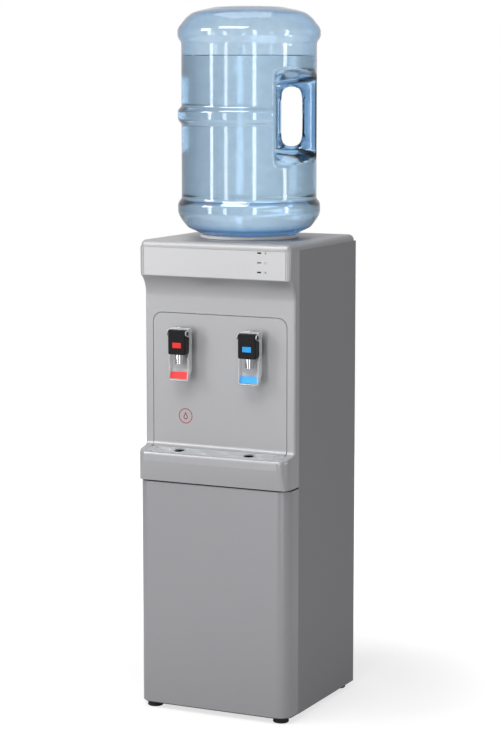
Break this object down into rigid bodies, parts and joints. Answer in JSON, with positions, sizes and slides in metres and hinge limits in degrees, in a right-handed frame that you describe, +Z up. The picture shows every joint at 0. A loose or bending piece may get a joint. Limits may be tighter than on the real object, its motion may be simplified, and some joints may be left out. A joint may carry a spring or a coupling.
{
  "type": "hot and cold water dispenser",
  "caption": "Floor-standing hot and cold water dispenser with push taps, drip tray, cupboard door and a bottle standing upside down in its top.",
  "frame": {"origin": "middle of the whole object's footprint, on the floor", "axes": "+Z up, the front with the taps faces -Y, +X to the right seen from the front"},
  "size_m": [0.31, 0.336, 1.3195],
  "materials": {
    "steel_panel": "satin grey powder coat",
    "pan": "satin",
    "bare_steel": "satin",
    "fascia": "silver paint, satin",
    "header": "light silver paint, satin",
    "cover": "silver paint, satin",
    "collar": "satin",
    "door": "silver paint, satin",
    "white_plastic": "matt",
    "tray": "satin grey",
    "black_plastic": "matt",
    "black_gloss": "gloss",
    "rubber": "matt",
    "silicone": "matt",
    "bottle": "clear blue",
    "clear_plastic": "clear",
    "cap": "gloss",
    "red": "gloss",
    "blue": "gloss",
    "chrome": "polished",
    "foam": "open foam",
    "aluminium": "extruded",
    "ceramic": "white ceramic",
    "board": "lacquered board",
    "heater": "clamped band",
    "lamp_red": "lens",
    "lamp_yellow": "lens",
    "lamp_green": "lens"
  },
  "bodies": {
    "cabinet": {"base_pan": "pan", "feet": "rubber", "side_panel_left": "steel_panel", "side_panel_right": "steel_panel", "rear_panel": "steel_panel", "tank_shelves": "bare_steel", "top_cover": "cover", "bottle_seat": "collar", "feed_probe": "white_plastic", "front_fascia": "fascia", "header_panel": "header", "tap_panel": "fascia", "lamp_heating": "lamp_red", "lamp_power": "lamp_yellow", "lamp_cooling": "lamp_green", "circuit_boards": "board", "door_magnet": "black_plastic", "hinge_pins": "bare_steel", "cold_tank": "bare_steel", "foam_jacket": "foam", "baffle": "white_plastic", "cold_block": "aluminium", "cooling_module": "ceramic", "heat_sink": "aluminium", "fan_frame": "black_plastic", "hot_tank": "bare_steel", "hot_sleeve": "foam", "band_heater": "heater", "thermostats": "black_plastic", "feed_hose": "silicone", "tap_hoses": "silicone", "drain_pipe": "white_plastic", "switch_housings": "black_plastic", "cord_gland": "black_plastic", "panel_screws": "bare_steel", "hot_tap_body": "black_gloss", "cold_tap_body": "black_gloss", "hot_window": "red", "cold_window": "blue", "tap_spouts": "chrome", "tap_nuts": "white_plastic", "pivot_pins": "chrome", "valve_springs": "bare_steel"},
    "door": {"door": "door", "door_inner_panel": "white_plastic", "door_strike": "bare_steel"},
    "bottle": {"bottle": "bottle", "bottle_cap": "cap"},
    "drip_tray": {"drip_tray": "tray"},
    "drip_grille": {"drip_grille": "tray"},
    "hot_paddle": {"hot_paddle": "clear_plastic", "hot_strip": "red"},
    "cold_paddle": {"cold_paddle": "clear_plastic", "cold_strip": "blue"},
    "hot_plunger": {"hot_plunger": "silicone"},
    "cold_plunger": {"cold_plunger": "silicone"},
    "hot_rocker": {"hot_rocker": "red"},
    "cold_rocker": {"cold_rocker": "blue"},
    "fan_rotor": {"fan_rotor": "black_plastic"},
    "drain_cap": {"drain_cap": "black_plastic"}
  },
  "joints": [
    {"name": "door_swing", "type": "hinge", "parent": "cabinet", "child": "door", "pos_m": [-0.141, -0.131, 0.2], "axis": [0, 0, -1], "range_deg": [0, 100]},
    {"name": "bottle_lift", "type": "slide", "parent": "cabinet", "child": "bottle", "axis": [0, 0, 1], "range_m": [0, 0.12]},
    {"name": "tray_lift", "type": "slide", "parent": "cabinet", "child": "drip_tray", "axis": [0, 0, 1], "range_m": [0, 0.06]},
    {"name": "grille_lift", "type": "slide", "parent": "drip_tray", "child": "drip_grille", "axis": [0, 0, 1], "range_m": [0, 0.04]},
    {"name": "hot_paddle_push", "type": "hinge", "parent": "cabinet", "child": "hot_paddle", "pos_m": [-0.072, -0.1525, 0.71975], "axis": [1, 0, 0], "range_deg": [0, 7], "stiffness_Nm_per_rad": 0.6, "springref_deg": -5.73},
    {"name": "cold_paddle_push", "type": "hinge", "parent": "cabinet", "child": "cold_paddle", "pos_m": [0.072, -0.1525, 0.71975], "axis": [1, 0, 0], "range_deg": [0, 7], "stiffness_Nm_per_rad": 0.6, "springref_deg": -5.73},
    {"name": "hot_valve_lift", "type": "slide", "parent": "cabinet", "child": "hot_plunger", "axis": [0, 0, 1], "range_m": [0, 0.00093]},
    {"name": "cold_valve_lift", "type": "slide", "parent": "cabinet", "child": "cold_plunger", "axis": [0, 0, 1], "range_m": [0, 0.00093]},
    {"name": "hot_switch_tilt", "type": "hinge", "parent": "cabinet", "child": "hot_rocker", "pos_m": [0.092, 0.153, 0.628], "axis": [1, 0, 0], "range_deg": [0, 14]},
    {"name": "cold_switch_tilt", "type": "hinge", "parent": "cabinet", "child": "cold_rocker", "pos_m": [0.118, 0.153, 0.628], "axis": [1, 0, 0], "range_deg": [0, 14]},
    {"name": "fan_spin", "type": "hinge", "parent": "cabinet", "child": "fan_rotor", "pos_m": [0, 0.134, 0.725], "axis": [0, 1, 0], "continuous": true},
    {"name": "drain_cap_turn", "type": "hinge", "parent": "cabinet", "child": "drain_cap", "pos_m": [0, 0.159, 0.484], "axis": [0, 1, 0], "continuous": true}
  ],
  "couplings": [
    {"joint": "hot_valve_lift", "follows": "hot_paddle_push", "m_per_rad": 0.0075},
    {"joint": "cold_valve_lift", "follows": "cold_paddle_push", "m_per_rad": 0.0075}
  ]
}
